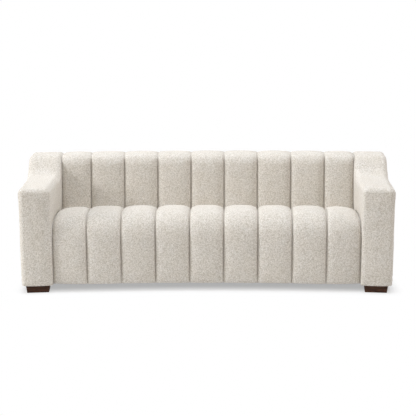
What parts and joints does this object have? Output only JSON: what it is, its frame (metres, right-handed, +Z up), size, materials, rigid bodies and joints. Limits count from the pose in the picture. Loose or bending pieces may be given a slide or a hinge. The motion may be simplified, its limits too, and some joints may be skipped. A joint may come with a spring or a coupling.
{
  "type": "sofa",
  "caption": "Three-seat tuxedo sofa in pale oatmeal boucle, channelled seat and back, front curved inwards, arms that sweep up to the back, low dark block feet",
  "frame": {"origin": "on the floor, at the middle of the sofa's outline seen from above", "axes": "+X towards the right arm of someone facing the sofa, +Y towards the back, +Z up; the seat faces -Y"},
  "size_m": [2.4488, 0.9148, 0.78],
  "materials": {
    "foot_wood": "dark brown satin lacquer over hardwood",
    "glide_nylon": "off-white nylon",
    "zinc_steel": "bright zinc plate",
    "spring_steel": "oiled spring steel wire",
    "tie_wire": "kraft paper over wire",
    "frame_wood": "sawn hardwood, unfinished",
    "plywood": "birch plywood, unfinished",
    "fibreboard": "brown fibreboard",
    "webbing": "woven elastic webbing",
    "foam": "cream upholstery foam",
    "boucle": "looped oatmeal boucle",
    "deck_cloth": "grey felted deck cloth",
    "dust_cloth": "black non-woven dust cloth"
  },
  "bodies": {
    "root": {"foot_front_left": "foot_wood", "foot_front_right": "foot_wood", "foot_rear_left": "foot_wood", "foot_rear_right": "foot_wood", "foot_center": "foot_wood", "foot_glides": "glide_nylon", "foot_bolts": "zinc_steel", "foot_tee_nuts": "zinc_steel", "arm_bolts": "zinc_steel", "arm_nuts": "zinc_steel", "rib_screws": "zinc_steel", "spring_clips": "zinc_steel", "seat_springs": "spring_steel", "tie_wires": "tie_wire", "foot_block_front_left": "frame_wood", "foot_block_front_right": "frame_wood", "foot_block_rear_left": "frame_wood", "foot_block_rear_right": "frame_wood", "foot_block_center": "frame_wood", "front_rail": "frame_wood", "rear_rail": "frame_wood", "side_rail_left": "frame_wood", "side_rail_right": "frame_wood", "stretcher_1": "frame_wood", "stretcher_2": "frame_wood", "stretcher_3": "frame_wood", "stretcher_4": "frame_wood", "arm_front_board_left": "frame_wood", "arm_front_board_right": "frame_wood", "arm_middle_post_left": "frame_wood", "arm_middle_post_right": "frame_wood", "arm_rear_post_left": "frame_wood", "arm_rear_post_right": "frame_wood", "back_rib_1": "frame_wood", "back_rib_2": "frame_wood", "back_rib_3": "frame_wood", "back_rib_4": "frame_wood", "back_rib_5": "frame_wood", "back_top_board": "frame_wood", "back_slat": "frame_wood", "back_sill": "frame_wood", "arm_inner_panel_left": "plywood", "arm_inner_panel_right": "plywood", "arm_outer_panel_left": "plywood", "arm_outer_panel_right": "plywood", "arm_top_board_left": "plywood", "arm_top_board_right": "plywood", "outer_back_panel": "fibreboard", "back_webbing": "webbing", "arm_foam_left": "foam", "arm_foam_right": "foam", "back_foam": "foam", "seat_foam": "foam", "arm_cover_left": "boucle", "arm_cover_right": "boucle", "back_cover": "boucle", "outer_back_cover": "boucle", "seat_cover": "boucle", "seat_deck": "deck_cloth", "dust_cover": "dust_cloth"}
  },
  "joints": []
}
